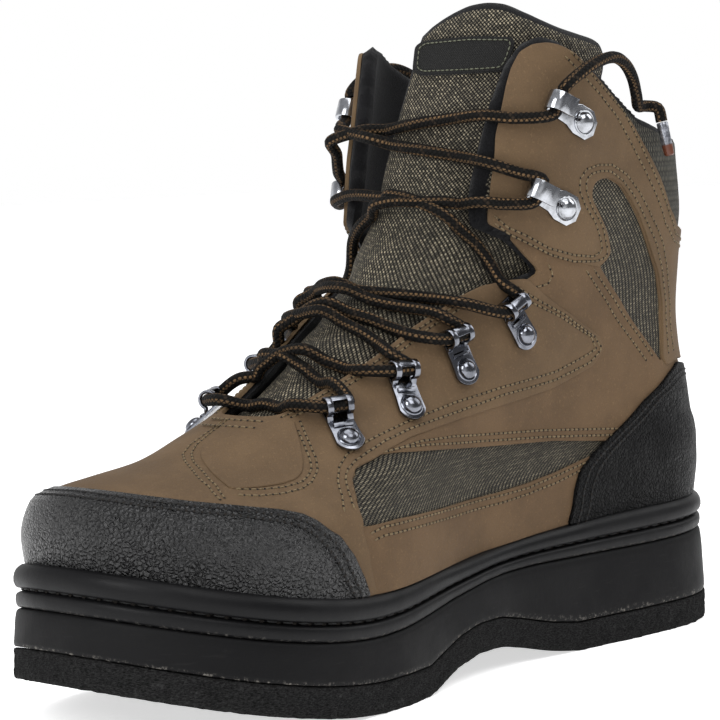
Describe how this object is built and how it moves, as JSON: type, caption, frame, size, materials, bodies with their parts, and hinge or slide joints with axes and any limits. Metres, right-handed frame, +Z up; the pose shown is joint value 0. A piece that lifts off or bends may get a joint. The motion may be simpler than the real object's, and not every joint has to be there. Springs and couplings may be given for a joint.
{
  "type": "wading boot",
  "caption": "Left lace-up wading boot with a flat felt outsole, midsole, welt, hollow padded ankle-height upper, overlays, tongue, eyelets, speed hooks and a criss-cross lace",
  "frame": {"origin": "centre of the heel's flat tread, on the floor", "axes": "+X from heel to toe, +Y to the boot's outer side, +Z up"},
  "size_m": [0.3224, 0.1183, 0.2437],
  "materials": {
    "felt": "dense dark felt",
    "midsole": "matte moulded foam",
    "welt": "satin moulded rubber with a stitch groove",
    "cap": "pebbled, soft gloss",
    "suede": "brushed synthetic nubuck",
    "mesh": "coarse two-tone woven mesh over foam",
    "lining": "soft lining cloth",
    "patch": "plain dark woven patch",
    "lace": "round braid with tracer flecks",
    "aglet": "smooth sleeve",
    "eyelet": "dark nickel plate",
    "hook": "bright nickel plate"
  },
  "bodies": {
    "root": {"felt_outsole": "felt", "midsole": "midsole", "welt": "welt", "insole": "lining", "upper": "mesh", "toe_cap": "cap", "heel_counter": "cap", "ankle_cuff": "suede", "eyestay_left": "suede", "eyestay_right": "suede", "tongue": "mesh", "tongue_patch": "patch", "eyelet_1_left": "eyelet", "eyelet_2_left": "eyelet", "eyelet_3_left": "eyelet", "eyelet_4_left": "eyelet", "hook_1_left": "hook", "hook_2_left": "hook", "eyelet_1_right": "eyelet", "eyelet_2_right": "eyelet", "eyelet_3_right": "eyelet", "eyelet_4_right": "eyelet", "hook_1_right": "hook", "hook_2_right": "hook", "lace_bar": "lace", "lace_crossing_1": "lace", "lace_crossing_2": "lace", "lace_crossing_3": "lace", "lace_crossing_4": "lace", "lace_crossing_5": "lace", "lace_end_left": "lace", "aglet_left": "aglet", "lace_end_right": "lace", "aglet_right": "aglet"}
  },
  "joints": []
}
